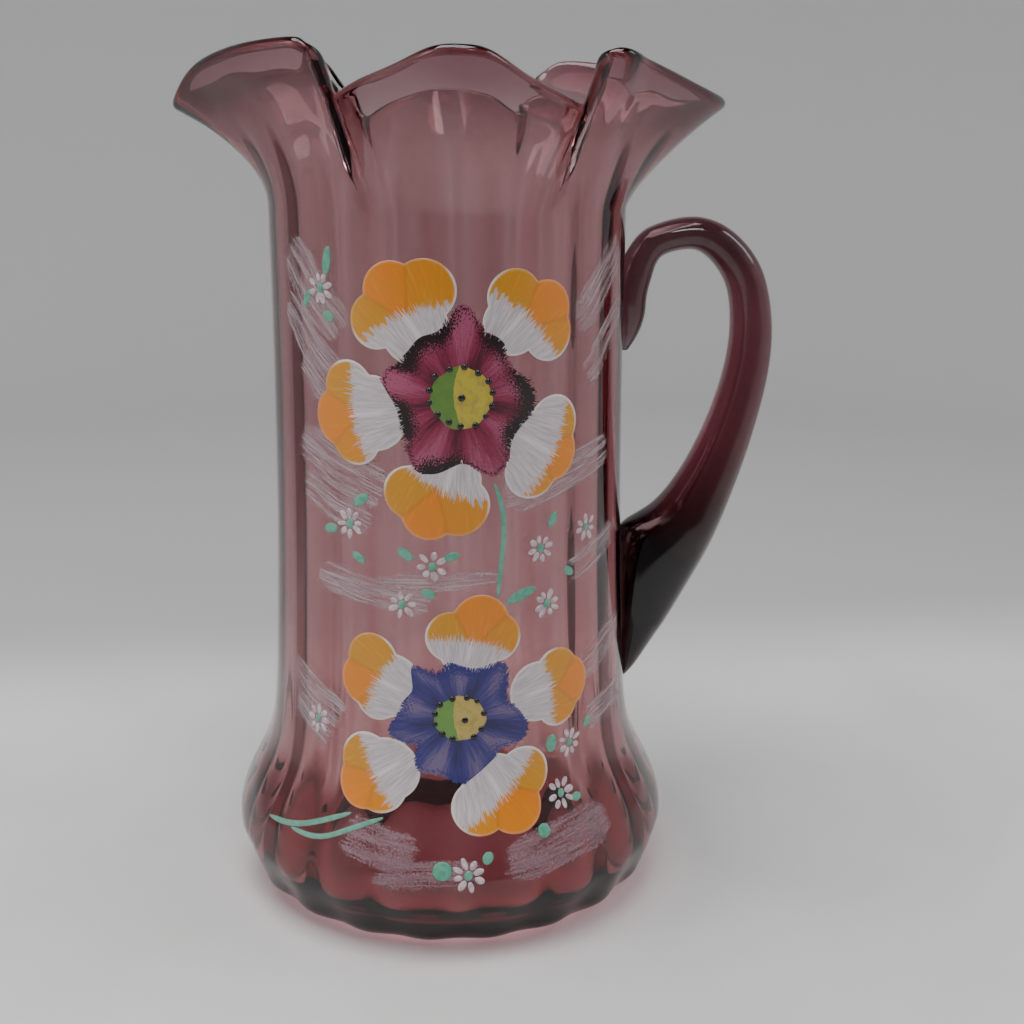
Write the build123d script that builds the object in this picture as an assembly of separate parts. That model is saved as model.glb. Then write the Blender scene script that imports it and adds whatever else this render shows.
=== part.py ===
from build123d import *
import math
import os

# Blown glass water pitcher with a four-lobed crimped rim, an applied solid
# handle and fired enamel flowers.  Millimetres, +Z up, +X towards the handle,
# the painted front faces -Y.  Bearings are in degrees from the front, positive
# towards the handle.

# ---- overall sizes -------------------------------------------------------
total_height = 260.0        # highest shoulder of the rim above the table
flare_height = 46.0         # plain neck ends this far below the top
neck_radius = 53.0          # outside of the plain neck
wall = 3.0                  # blown wall, neck and flare
lip_thickness = 4.0         # fire-polished bead along the rim
foot_radius = 54.0          # outside of the ground foot ring
bulge_extra = 15.2          # the low bulge stands this far outside the neck
floor_thickness = 6.2       # glass under the inside floor
kick_up = 3.2               # hollow under the foot

# ---- optic ribs ----------------------------------------------------------
rib_count = 20
rib_phase = 6.0             # bearing of one rib crest
outer_rib = 0.9             # scallops on the lowest 20 mm only
outer_rib_top = 20.0
inner_rib = 0.45            # ripples on the inside, full height

# ---- handle --------------------------------------------------------------
handle_reach = 100.5        # outermost point of the handle from the axis
handle_width = 1.16         # side to side size over the seen thickness
foot_width = 25.0           # widest spread of the lower end on the wall

# ---- enamel --------------------------------------------------------------
enamel_thickness = 0.25
frost_thickness = 0.12
dot_radius = 0.85           # each raised dot round a flower's eye
fuse_gap = 0.015            # enamel and handle stand this far off the wall

neck_height = total_height - flare_height
ring_points = 240


def cubic(knots, values, period=None):
    """Cubic through the values, closed when a period is given."""
    n = len(knots)
    closed = period is not None
    spans = [knots[i + 1] - knots[i] for i in range(n - 1)]
    if closed:
        spans.append(knots[0] + period - knots[-1])
    slopes = [(values[(i + 1) % n] - values[i]) / spans[i] for i in range(len(spans))]
    bend = [0.0] * n
    for _ in range(400):
        for i in range(n):
            if not closed and i in (0, n - 1):
                continue
            left = spans[i - 1]
            right = spans[i]
            rhs = 6 * (slopes[i] - slopes[i - 1])
            bend[i] = (rhs - left * bend[i - 1] - right * bend[(i + 1) % n]) / (2 * (left + right))

    def value(u):
        if closed:
            u = (u - knots[0]) % period + knots[0]
        i = 0
        while i < len(spans) - 1 and u >= knots[i + 1]:
            i += 1
        t = u - knots[i]
        h = spans[i]
        j = (i + 1) % n
        first = slopes[i] - h * (2 * bend[i] + bend[j]) / 6
        return values[i] + first * t + bend[i] / 2 * t ** 2 + (bend[j] - bend[i]) / (6 * h) * t ** 3

    return value


# ---- body of the vessel --------------------------------------------------
# share of the neck height, share of the bulge
belly = [
    (0.0, (foot_radius - neck_radius) / bulge_extra), (0.014, 0.49), (0.042, 0.80), (0.084, 1.0),
    (0.131, 0.94), (0.178, 0.645), (0.224, 0.355), (0.271, 0.217), (0.318, 0.158), (0.374, 0.118),
    (0.514, 0.046), (0.70, 0.0), (0.89, -0.01), (1.0, 0.0),
]
belly_curve = cubic([b[0] for b in belly], [b[1] for b in belly])


def outer_radius(z):
    return neck_radius + bulge_extra * belly_curve(min(max(z / neck_height, 0.0), 1.0))


def rib_wave(bearing):
    return math.cos(math.radians(rib_count * (bearing - rib_phase)))


def outer_ring(z):
    fade = max(0.0, 1.0 - (z / outer_rib_top) ** 2) * min(1.0, (z + 2.5) / 8.0)

    def point(bearing):
        r = outer_radius(z) + outer_rib * fade * (rib_wave(bearing) - 1.0)
        b = math.radians(bearing)
        return (r * math.sin(b), -r * math.cos(b), z)

    return point


def plain_ring(r, z, ripple=0.0):
    def point(bearing):
        b = math.radians(bearing)
        q = r - ripple * rib_wave(bearing)
        return (q * math.sin(b), -q * math.cos(b), z)

    return point


# ---- ruffled rim ---------------------------------------------------------
# bearing at the neck, bearing of the lip, lip outside the neck, drop below
# the highest shoulder line, how late the wall swings out
rim = [
    # spout lobe on the side away from the handle
    (-108, -107.0, 22.8, 9.8, 1.9), (-90, -90.0, 25.3, 14.7, 1.9), (-78, -82.0, 21.8, 7.9, 1.9),
    (-65, -70.6, 17.2, 2.5, 1.9), (-52, -58.0, 13.4, -0.4, 1.9), (-42, -46.4, 11.0, -1.6, 1.8),
    (-37, -41.6, 9.4, -0.6, 1.6), (-32.5, -42.4, 3.5, 5.0, 1.35),
    # front left crimp
    (-28, -46.4, -3.6, 12.5, 1.2),
    # front lobe
    (-23, -37.4, -1.3, 11.3, 1.2), (-18, -28.2, 3.2, 8.4, 1.25), (-12, -17.3, 9.2, 4.7, 1.4),
    (-6, -8.5, 15.0, 0.6, 1.5), (0, -1.6, 17.6, 0.0, 1.5), (7, 5.6, 15.4, 1.9, 1.5),
    (12.5, 14.6, 9.5, 7.4, 1.4), (17.5, 25.6, 4.4, 11.6, 1.25), (21.5, 34.6, 1.3, 14.2, 1.2),
    # front right crimp
    (25, 41.6, -0.6, 15.1, 1.15), (28.5, 41.4, 3.6, 11.4, 1.2),
    # lobe over the handle
    (32.5, 37.2, 9.8, 3.4, 1.4), (37, 36.6, 14.2, 0.6, 1.5), (42, 39.9, 16.2, 0.9, 1.4),
    (47.5, 45.6, 14.6, 2.2, 1.25), (56, 53.2, 14.6, 4.5, 1.2), (70, 69.4, 19.0, 9.4, 1.2),
    (90, 90.0, 29.6, 14.6, 1.2), (108, 105.6, 25.8, 11.5, 1.3), (124, 119.8, 19.2, 7.2, 1.5),
    (137, 134.2, 12.5, 5.0, 1.6), (144, 142.0, 8.6, 6.5, 1.5), (149, 143.6, 1.8, 12.0, 1.3),
    # back right crimp
    (153.5, 142.8, -7.2, 17.0, 1.2),
    # back lobe
    (158, 150.8, -5.2, 16.5, 1.2), (163, 159.0, 0.6, 12.5, 1.3), (170, 169.2, 7.0, 9.0, 1.4),
    (180, 180.0, 10.6, 7.7, 1.5), (190, 190.8, 7.0, 9.0, 1.4), (197, 201.0, 0.6, 12.5, 1.3),
    (202, 209.2, -5.2, 16.5, 1.2),
    # back left crimp
    (206.5, 217.0, -7.6, 16.5, 1.2),
    (211, 217.0, 1.2, 10.0, 1.3), (216, 217.6, 8.4, 3.5, 1.5), (223, 224.4, 12.9, 2.2, 1.7),
    (236, 238.0, 17.8, 4.0, 1.8),
]
bearings = [row[0] for row in rim]
lip_turn = cubic(bearings, [row[1] - row[0] for row in rim], 360)
lip_out = cubic(bearings, [row[2] for row in rim], 360)
lip_drop = cubic(bearings, [row[3] for row in rim], 360)
lip_late = cubic(bearings, [row[4] for row in rim], 360)
lip_top = total_height - lip_thickness / 2 - 1.2


def flare_point(bearing, share):
    """Middle of the wall, share 0 at the neck and 1 at the lip."""
    turn = math.radians(bearing + lip_turn(bearing))
    reach = neck_radius - wall / 2 + lip_out(bearing)
    top = lip_top + 0.4 - lip_drop(bearing)
    b = math.radians(bearing)
    r = neck_radius - wall / 2
    w = share ** max(1.1, lip_late(bearing))
    x = r * math.sin(b) * (1 - w) + reach * math.sin(turn) * w
    y = -r * math.cos(b) * (1 - w) - reach * math.cos(turn) * w
    return (x, y, neck_height + (top - neck_height) * share)


def flare_frame(bearing, share):
    """Point, outward normal and upward direction of the flaring wall."""
    step = 0.02
    low = max(share - step, 0.0)
    p = Vector(*flare_point(bearing, share))
    up = Vector(*flare_point(bearing, share + step)) - Vector(*flare_point(bearing, low))
    round_ = Vector(*flare_point(bearing + 0.3, share)) - Vector(*flare_point(bearing - 0.3, share))
    normal = round_.cross(up).normalized()
    return p, normal, up.normalized()


def flare_ring(share, side):
    half = wall / 2 + (lip_thickness - wall) / 2 * max(0.0, (share - 0.8) / 0.2)
    ripple = inner_rib if side < 0 else 0.0

    def point(bearing):
        p, normal, up = flare_frame(bearing, share)
        thin = -ripple * rib_wave(bearing) * (1.0 - share)
        q = p + normal * (side * (half - thin))
        return (q.X, q.Y, q.Z)

    return point


def lip_ring(turn):
    a = math.radians(turn)

    def point(bearing):
        p, normal, up = flare_frame(bearing, 1.0)
        q = p + (normal * math.cos(a) + up * math.sin(a)) * (lip_thickness / 2)
        return (q.X, q.Y, q.Z)

    return point


def crowded_bearings(count):
    """Bearings round the vessel, closer together at the four crimps."""
    fine = 3600
    total = 0.0
    steps = []
    for i in range(fine):
        b = -180 + 360 * (i + 0.5) / fine
        near = sum(math.exp(-((b - c) / 11.0) ** 2) for c in (-153.5, -30, 28, 153.5))
        total += 1 + 2.2 * near
        steps.append(total)
    result = []
    j = 0
    for k in range(count):
        goal = total * k / count
        while steps[j] < goal:
            j += 1
        before = steps[j - 1] if j else 0.0
        result.append(-180 + 360 * (j + (goal - before) / (steps[j] - before)) / fine)
    return result


wall_heights = [18, 22, 26, 30, 34, 38, 42, 46, 50.5, 55.5, 61, 67, 74, 81.5, 90, 99, 108.5, 119]
wall_heights += [130 + (neck_height - 137.0) / 7 * k for k in range(8)]
ring_bearings = crowded_bearings(ring_points)
ring_parameters = [k / ring_points for k in range(ring_points + 1)]


def ring_wire(point):
    pts = [Vector(*point(b)) for b in ring_bearings]
    return Wire([Edge.make_spline(pts, periodic=True, parameters=ring_parameters)])


def body_solid():
    hollow = []
    for r in (8, 15, 22, 29, 35, 40.5, foot_radius - 9):
        hollow.append(plain_ring(r, kick_up * (1 - (r / (foot_radius - 8.6)) ** 4)))
    foot = [hollow[-1], plain_ring(foot_radius - 7.2, -0.4), plain_ring(foot_radius - 5, -0.8)]
    foot += [plain_ring(foot_radius - 2.4, -0.8), plain_ring(foot_radius - 0.5, -0.3)]
    foot += [outer_ring(z) for z in (1.0, 2.6, 4.8, 7.4, 10.6, 14.2, wall_heights[0])]
    outside = [outer_ring(z) for z in wall_heights]
    shares = [0.0, 0.09, 0.18, 0.28, 0.38, 0.48, 0.58, 0.68, 0.78, 0.87, 0.95]
    outer_flare = [outside[-1]] + [flare_ring(s, 1) for s in shares] + [lip_ring(0)]
    lip = [lip_ring(a) for a in range(0, 181, 30)]
    inside = []
    for z in wall_heights[::-1]:
        extra = 0.8 * max(0.0, 1 - z / 90)
        ripple = inner_rib + 0.5 * max(0.0, 1 - z / 60)
        inside.append(plain_ring(outer_radius(z) - wall - extra, z, ripple))
    inner_flare = [lip_ring(180)] + [flare_ring(s, -1) for s in reversed(shares)] + [inside[0]]
    reach = outer_radius(18)
    base = floor_thickness
    floor = [inside[-1], plain_ring(reach - 5.0, base + 9.0, 0.7)]
    floor += [plain_ring(reach - 7.6, base + 6.4, 0.5), plain_ring(reach - 11.0, base + 4.2, 0.3)]
    floor += [plain_ring(reach - 15.4, base + 2.4, 0.2), plain_ring(reach - 20.5, base + 1.3)]
    floor += [plain_ring(reach - r, base + 0.02 * (60 - r)) for r in (26.5, 33, 40, 47, 54)]
    faces = []
    for strip in (hollow, foot, outside, outer_flare, lip, inner_flare, inside, floor):
        faces += Shell.make_loft([ring_wire(r) for r in strip]).faces()
    faces.append(Face(ring_wire(hollow[0])))
    faces.append(Face(ring_wire(floor[-1])))
    solid = Solid(Shell(faces))
    below = Box(300, 300, 40, align=(Align.CENTER, Align.CENTER, Align.MAX))
    return (Part() + solid) - below


# ---- shell round the vessel, used to seat the handle and the enamel ------


def round_shell(offset):
    pts = [(outer_radius(z) + offset, z) for z in wall_heights]
    low = pts[0][1]
    high = pts[-1][1] + 8
    edge = Edge.make_spline([Vector(r, 0, z) for r, z in pts])
    top_r = pts[-1][0]
    rest = Wire.make_polygon([(top_r, 0, pts[-1][1]), (top_r, 0, high), (0, 0, high),
                              (0, 0, low), (pts[0][0], 0, low)], close=False)
    face = Face(Wire([edge] + list(rest.edges())))
    return Solid.revolve(face, 360, Axis.Z)


# ---- handle --------------------------------------------------------------
# distance from the axis beyond the neck, height as a share of the neck
# height, heading of the rod (degrees, 90 is up), half thickness
handle_rows = [
    (1.6, 0.789, 90, 0.9), (2.3, 0.812, 90, 3.2), (2.6, 0.842, 91, 4.9), (3.0, 0.878, 86, 5.3),
    (6.9, 0.928, 44, 5.0), (13.1, 0.949, 24, 4.8), (22.2, 0.955, -5, 5.0), (30.0, 0.940, -33, 5.5),
    (35.6, 0.913, -50, 5.9), (39.4, 0.876, -66, 6.2), (41.2, 0.817, -84, 6.6), (40.2, 0.755, -97, 7.0),
    (36.9, 0.690, -107, 7.5), (31.0, 0.612, -115, 8.6), (21.6, 0.528, -122, 11.2),
    (12.6, 0.478, -127, 14.6), (7.6, 0.414, -117, 12.0), (4.6, 0.358, -108, 8.4),
    (3.2, 0.312, -101, 4.6), (2.7, 0.288, -98, 1.6),
]
handle_scale = (handle_reach - neck_radius) / 47.5


def handle_solid():
    sections = []
    for out, share, heading, half in handle_rows:
        h = math.radians(heading)
        x = neck_radius + out * handle_scale
        z = share * neck_height
        plane = Plane(origin=(x, 0, z), x_dir=(0, 1, 0), z_dir=(math.cos(h), 0, math.sin(h)))
        broad = min(half * handle_width, foot_width / 2)
        sections.append(Wire([Edge.make_spline(
            [plane.from_local_coords(Vector(broad * math.cos(t), half * math.sin(t), 0))
             for t in [math.radians(a) for a in range(0, 360, 30)]],
            periodic=True, parameters=[k / 12 for k in range(13)])]))
    rod = Solid.make_loft(sections)
    return (Part() + rod) - round_shell(fuse_gap)


# ---- enamel --------------------------------------------------------------
def stamp(outline, bearing, z0, depth=14):
    """Prism through the wall; outline in mm along the arc and up."""
    r = outer_radius(z0)
    b = math.radians(bearing)
    out = Vector(math.sin(b), -math.cos(b), 0)
    side = Vector(math.cos(b), math.sin(b), 0)
    base = out * (r - depth)
    pts = [base + side * (r * math.sin(a / r)) + Vector(0, 0, z0 + h) for a, h in outline]
    edge = Edge.make_spline(pts, periodic=True)
    return Solid.extrude(Face(Wire([edge])), out * (depth + 8))


def turned(outline, bearing_deg, dx=0.0, dy=0.0):
    a = math.radians(bearing_deg)
    c = math.cos(a)
    s = math.sin(a)
    return [(dx + x * c - y * s, dy + x * s + y * c) for x, y in outline]


def reach_of(discs, x0, y0, direction):
    """How far a group of overlapping discs reaches from a middle point."""
    t = math.radians(direction)
    best = 0.0
    for x, y, r in discs:
        along = (x - x0) * math.cos(t) + (y - y0) * math.sin(t)
        off = (x - x0) ** 2 + (y - y0) ** 2 - along ** 2
        if off < r * r:
            best = max(best, along + math.sqrt(r * r - off))
    return best


def petal_outline(discs):
    """Scalloped petal round the middle of its discs."""
    x0 = sum(d[0] for d in discs) / len(discs)
    y0 = sum(d[1] for d in discs) / len(discs)
    tip = math.degrees(math.atan2(y0, x0))
    pts = []
    for k in range(36):
        direction = 10.0 * k
        inward = max(0.0, -math.cos(math.radians(direction - tip)))
        r = reach_of(discs, x0, y0, direction) * (1 - 0.10 * inward ** 2)
        t = math.radians(direction)
        pts.append((r * math.cos(t), r * math.sin(t)))
    return x0, y0, pts


def star_outline(points):
    return [(r * math.cos(math.radians(t)), r * math.sin(math.radians(t))) for t, r in points]


def disc_outline(radius, count=8):
    step = 2 * math.pi / count
    return [(radius * math.cos(step * k), radius * math.sin(step * k)) for k in range(count)]


def stroke_outline(path, width):
    """Brush stroke of even width with rounded ends."""
    ends = [path[0]] + path + [path[-1]]
    line = []
    for i in range(1, len(ends) - 2):
        p0, p1, p2, p3 = ends[i - 1:i + 3]
        for t in (0.0, 0.33, 0.67):
            line.append(tuple(
                0.5 * (2 * p1[k] + (p2[k] - p0[k]) * t
                       + (2 * p0[k] - 5 * p1[k] + 4 * p2[k] - p3[k]) * t ** 2
                       + (3 * p1[k] - p0[k] - 3 * p2[k] + p3[k]) * t ** 3)
                for k in (0, 1)))
    line.append(path[-1])
    left = []
    right = []
    for i, (x, y) in enumerate(line):
        ax, ay = line[max(i - 1, 0)]
        bx, by = line[min(i + 1, len(line) - 1)]
        run = math.hypot(bx - ax, by - ay)
        ux = (bx - ax) / run
        uy = (by - ay) / run
        left.append((x - uy * width / 2, y + ux * width / 2))
        right.append((x + uy * width / 2, y - ux * width / 2))
        if i == 0:
            start = (x - ux * width / 2, y - uy * width / 2)
        end = (x + ux * width / 2, y + uy * width / 2)
    return [start] + left + [end] + right[::-1]


# each flower: bearing and height of the eye, petals as overlapping discs (arc,
# height, radius) round the eye, corolla as (direction, radius), eye half sizes,
# dots as (arc, height)
flowers = {
    "upper_flower": {
        "bearing": -1.9, "height": 165.7, "eye": (9.4, 9.6),
        "petals": [
            [(-23, 21, 8), (-18.5, 29.3, 8.4), (-9.5, 29.5, 9), (-11.5, 18, 10)],
            [(15.5, 27.5, 8), (25, 23.5, 8.4), (26, 17, 8), (14.5, 19.5, 9)],
            [(28, -9, 8.6), (28, -17, 8.4), (21, -21, 8.6), (20, -12.5, 9)],
            [(-13.5, -26.5, 8), (-8.5, -32, 8.2), (-0.5, -30, 9), (-3, -22, 9.5)],
            [(-32, 1.5, 8.2), (-35.5, -7, 8.4), (-30, -12, 8), (-23.5, -4.5, 11)],
        ],
        "corolla": [(-28, 20.5), (14, 20), (37, 16.5), (52, 20.5), (76, 21.5), (84, 25.2),
                    (102, 21.2), (121, 22), (150, 19.5), (162, 21.8), (186, 18.5), (218, 19.5),
                    (231, 21.5), (246, 25), (262, 21.2), (277, 18.5), (293, 23.5), (306, 22.5)],
        "dots": [(-6.8, 6.5), (-2.6, 8.5), (1.4, 9.1), (5.2, 7.3), (8.0, 4.9), (9.2, 1.7),
                 (9.0, -2), (7.2, -4.8), (4.4, -7.3), (0.3, -7.4), (-2.9, -6.2), (-5.9, -4.1),
                 (-8.2, -0.8), (-8.2, 2.6), (0.6, 0.5)],
    },
    "lower_flower": {
        "bearing": -2.5, "height": 72.1, "eye": (8.2, 7.4),
        "petals": [
            [(-2, 24.5, 7.8), (6.5, 28.5, 8.6), (11, 24, 7.6), (3, 20, 9)],
            [(31, 9.5, 8.2), (35, 6, 8.2), (31, 1.5, 8), (23, 5.5, 9.5)],
            [(18.5, -18, 8), (15, -26.5, 8), (5.5, -26, 8), (9, -19, 9)],
            [(-27, -14.5, 8.6), (-27.5, -20.5, 8.2), (-22.5, -21, 8), (-19.5, -15.5, 9.5)],
            [(-26, 16.5, 8), (-28, 10, 8.2), (-23.5, 6, 8), (-19.5, 9, 10)],
        ],
        "corolla": [(2, 17.8), (18, 15.4), (33, 17.4), (47, 20.4), (66, 17.2), (84, 16.6),
                    (100, 17.4), (115, 15.8), (132, 20), (146, 16.4), (166, 18), (178, 17.6),
                    (194, 20.6), (212, 15.6), (232, 19), (250, 17.4), (270, 19), (288, 18.4),
                    (306, 16.2), (322, 15.6), (340, 20.4)],
        "dots": [(-6.9, 1.6), (-6.9, -1.5), (-4.8, -4.5), (-1.9, -6.0), (-5.5, 4.4), (-1.9, 6.2),
                 (2.3, 6.4), (5.2, 5.3), (7.2, 1.4), (6.4, -3.4), (4.2, -5.6), (1.7, -0.4)],
    },
}
# bearing, height, radius, petals
daisies = [
    (-46.9, 194.3, 4.8, 8), (-37.0, 128.3, 4.6, 8), (-10.3, 117.7, 4.6, 7), (-19.7, 106.1, 4.2, 7),
    (24.0, 120.9, 4.6, 8), (43.1, 123.9, 4.4, 7), (26.3, 104.0, 4.4, 8), (34.0, 59.3, 4.4, 8),
    (28.4, 45.5, 4.8, 8), (-0.8, 28.0, 4.8, 8), (-50.1, 66.0, 4.6, 8),
]
# bearing, height, length, width, slope of each dab
dabs = [
    (-33.1, 135.6, 6, 2.6, 35), (-44.5, 125.7, 5, 2.4, 10), (-34.0, 118.6, 5, 2.2, -30),
    (-18.5, 121.0, 5, 2.2, -35), (-4.5, 120.6, 5, 2.2, 20), (-11.6, 109.7, 4.5, 2.2, -20),
    (28.5, 128.8, 5, 2.4, 60), (17.2, 107.9, 10, 2.8, 20), (34.9, 112.3, 4.5, 2.2, -35),
    (27.0, 60.6, 5.5, 3.2, 80), (42.3, 63.4, 4.5, 2.2, 40), (33.3, 43.2, 4, 2.4, 0),
    (-7.3, 29.4, 5.6, 4.6, 0), (4.3, 32.4, 4, 2.6, 60), (-44.0, 202.0, 8, 2.4, 80),
    (-53.1, 191.0, 6, 2.2, 60), (-43.9, 186.8, 4.5, 2.2, -30), (20.6, 37.1, 4, 3.6, 0),
]
# start bearing, start height, run along the arc, rise, width of each frost
# stroke
frost = [
    (-64, 205, 24, -24, 7), (-66, 190, 26, -24, 6), (-58, 174, 18, -14, 5),
    (-60, 150, 34, -12, 7), (-58, 138, 28, -10, 5), (-52, 112, 40, -6, 5), (-30, 112, 40, 2, 3.4),
    (10, 137, 44, 10, 6), (34, 112, 26, 8, 5), (36, 184, 26, 22, 6), (40, 168, 24, 20, 5),
    (-66, 78, 26, -10, 6), (-64, 68, 20, -8, 4), (36, 80, 30, 10, 5), (40, 64, 26, 4, 5),
    (-36, 36.5, 26, -4, 5.5), (8, 30, 40, 6, 6),
]


def enamel_layer(prisms, skin):
    return Part() + [p & skin for p in prisms]


def flower_parts(name, flower, skin):
    b0 = flower["bearing"]
    z0 = flower["height"]
    r = outer_radius(z0)
    corolla = stamp(star_outline(flower["corolla"]), b0, z0, 20)
    ex, ey = flower["eye"]
    eye = stamp([(x * ex / ey, y) for x, y in disc_outline(ey, 12)], b0, z0)
    petals = []
    for discs in flower["petals"]:
        x0, y0, outline = petal_outline(discs)
        here = outer_radius(z0 + y0) / r
        prism = stamp([(x * here, y) for x, y in outline], b0 + math.degrees(x0 / r), z0 + y0)
        petals.append(prism - corolla)
    dots = []
    for x, y in flower["dots"]:
        dots.append(stamp(disc_outline(dot_radius, 6), b0 + math.degrees(x / r), z0 + y))
    dot_block = Part() + dots
    whole = {"petals": enamel_layer(petals, skin)}
    whole["corolla"] = enamel_layer([corolla - eye], skin) - dot_block
    whole["eye"] = enamel_layer([eye], skin) - dot_block
    whole["stamens"] = enamel_layer(dots, skin)
    blocks = petals + [corolla]
    return {name + "_" + key: value for key, value in whole.items()}, blocks


def stem_prisms():
    r = outer_radius(125)
    upper = [(-2, 15.5), (0.6, 6), (0.2, -6), (-1.2, -18)]
    prisms = [stamp(stroke_outline(upper, 1.5), 10.8, 126)]
    first = [(12, 6), (3, 2.2), (-8, -1.8), (-20, -3.6)]
    second = [(17, 5), (7, 0.6), (-3, -3.6), (-14, -4.2)]
    pair = stamp(stroke_outline(first, 1.5), -44.5, 35.8, 20)
    prisms.append(pair + stamp(stroke_outline(second, 1.4), -39.5, 37.0, 20))
    return prisms


def daisy_prisms():
    petals = []
    middles = []
    for bearing, z, radius, count in daisies:
        r = outer_radius(z)
        for k in range(count):
            direction = 360.0 / count * k + 10
            a = math.radians(direction)
            reach = radius * 0.68
            here = bearing + math.degrees(reach * math.cos(a) / r)
            leaf = [(x * radius * 0.6, y * radius * 0.3) for x, y in disc_outline(0.5, 8)]
            petals.append(stamp(turned(leaf, direction), here, z + reach * math.sin(a)))
        middles.append(stamp(disc_outline(radius * 0.26, 8), bearing, z))
    return petals, middles


def dab_prisms():
    prisms = []
    for bearing, z, length, width, slope in dabs:
        shape = [(x * length, y * width) for x, y in disc_outline(0.5, 8)]
        prisms.append(stamp(turned(shape, slope), bearing, z))
    return prisms


def frost_prisms():
    prisms = []
    for start, z, run, rise, width in frost:
        r = outer_radius(z + rise / 2)
        middle = start + math.degrees(run / 2 / r)
        path = [(-run / 2, -rise / 2), (-run / 4, -rise / 3.2), (0, 0), (run / 4, rise / 4.4),
                (run / 2, rise / 2)]
        prisms.append(stamp(stroke_outline(path, width), middle, z + rise / 2, 20))
    return prisms


# ---- build everything ----------------------------------------------------
os.makedirs("parts", exist_ok=True)
nodes = {}
nodes["glass_body"] = body_solid()
nodes["glass_handle"] = handle_solid()

core = round_shell(fuse_gap)
skin = round_shell(fuse_gap + enamel_thickness) - core
thin_skin = round_shell(fuse_gap + frost_thickness) - core

covers = []
for name, flower in flowers.items():
    made, blocks = flower_parts(name, flower, skin)
    nodes.update(made)
    covers += blocks

flower_block = Part() + covers
stems = stem_prisms()
daisy_leaves, daisy_middles = daisy_prisms()
leaf_dabs = dab_prisms()
nodes["stems"] = enamel_layer(stems, skin) - flower_block
daisy_block = Part() + daisy_leaves + daisy_middles
nodes["leaf_dabs"] = enamel_layer(leaf_dabs, skin) - flower_block - daisy_block
nodes["daisy_petals"] = enamel_layer(daisy_leaves, skin) - flower_block
nodes["daisy_centres"] = enamel_layer(daisy_middles, skin) - flower_block
strokes = enamel_layer(frost_prisms(), thin_skin)
everything = Part() + stems + leaf_dabs + daisy_leaves + daisy_middles
nodes["frost_strokes"] = strokes - flower_block - everything - nodes["glass_handle"]

for name, part in nodes.items():
    part.label = name
    export_step(part, "parts/" + name + ".step")
    print(name, round(part.volume / 1000, 3), "cm3", len(part.solids()), "solids")
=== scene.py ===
import math
import random

import bpy
import numpy as np
from mathutils import Matrix, Vector


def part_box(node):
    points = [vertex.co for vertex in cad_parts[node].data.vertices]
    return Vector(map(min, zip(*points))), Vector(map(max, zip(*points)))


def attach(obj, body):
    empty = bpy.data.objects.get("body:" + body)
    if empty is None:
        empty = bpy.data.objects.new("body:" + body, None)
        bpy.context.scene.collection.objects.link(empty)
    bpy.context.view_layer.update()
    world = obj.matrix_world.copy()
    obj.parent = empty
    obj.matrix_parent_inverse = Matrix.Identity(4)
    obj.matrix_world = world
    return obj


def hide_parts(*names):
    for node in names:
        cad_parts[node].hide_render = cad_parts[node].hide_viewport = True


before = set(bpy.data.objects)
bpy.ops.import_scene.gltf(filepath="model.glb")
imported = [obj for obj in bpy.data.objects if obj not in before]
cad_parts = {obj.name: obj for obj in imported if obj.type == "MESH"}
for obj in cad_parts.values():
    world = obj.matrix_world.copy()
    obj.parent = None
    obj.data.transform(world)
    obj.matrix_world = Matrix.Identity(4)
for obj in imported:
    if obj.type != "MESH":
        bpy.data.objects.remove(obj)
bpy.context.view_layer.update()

mm = 0.001
random.seed(7)


def linearColour(code):
    parts = [int(code[i:i + 2], 16) / 255 for i in (1, 3, 5)]
    parts = [c / 12.92 if c <= 0.04045 else ((c + 0.055) / 1.055) ** 2.4 for c in parts]
    return (*parts, 1.0)


def closedCurve(knots, values):
    # cubic through the values round a full turn of 360 degrees
    k = np.asarray(knots, float)
    v = np.asarray(values, float)
    n = len(k)
    h = np.diff(np.append(k, k[0] + 360))
    d = (np.roll(v, -1) - v) / h
    a = np.zeros((n, n))
    for i in range(n):
        a[i, i - 1] += h[i - 1]
        a[i, i] += 2 * (h[i - 1] + h[i])
        a[i, (i + 1) % n] += h[i]
    m = np.linalg.solve(a, 6 * (d - np.roll(d, 1)))

    def value(u):
        u = np.mod(np.asarray(u, float) - k[0], 360) + k[0]
        i = np.clip(np.searchsorted(k, u, side="right") - 1, 0, n - 1)
        j = (i + 1) % n
        t = u - k[i]
        first = (v[j] - v[i]) / h[i] - h[i] * (2 * m[i] + m[j]) / 6
        return v[i] + first * t + m[i] / 2 * t ** 2 + (m[j] - m[i]) / (6 * h[i]) * t ** 3

    return value


def openCurve(knots, values):
    k = np.asarray(knots, float)
    v = np.asarray(values, float)
    n = len(k)
    h = np.diff(k)
    d = np.diff(v) / h
    a = np.eye(n)
    b = np.zeros(n)
    for i in range(1, n - 1):
        a[i, i - 1], a[i, i], a[i, i + 1] = h[i - 1], 2 * (h[i - 1] + h[i]), h[i]
        b[i] = 6 * (d[i] - d[i - 1])
    m = np.linalg.solve(a, b)

    def value(u):
        u = np.clip(np.asarray(u, float), k[0], k[-1])
        i = np.clip(np.searchsorted(k, u, side="right") - 1, 0, n - 2)
        t = u - k[i]
        first = (v[i + 1] - v[i]) / h[i] - h[i] * (2 * m[i] + m[i + 1]) / 6
        return v[i] + first * t + m[i] / 2 * t ** 2 + (m[i + 1] - m[i]) / (6 * h[i]) * t ** 3

    return value


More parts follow.
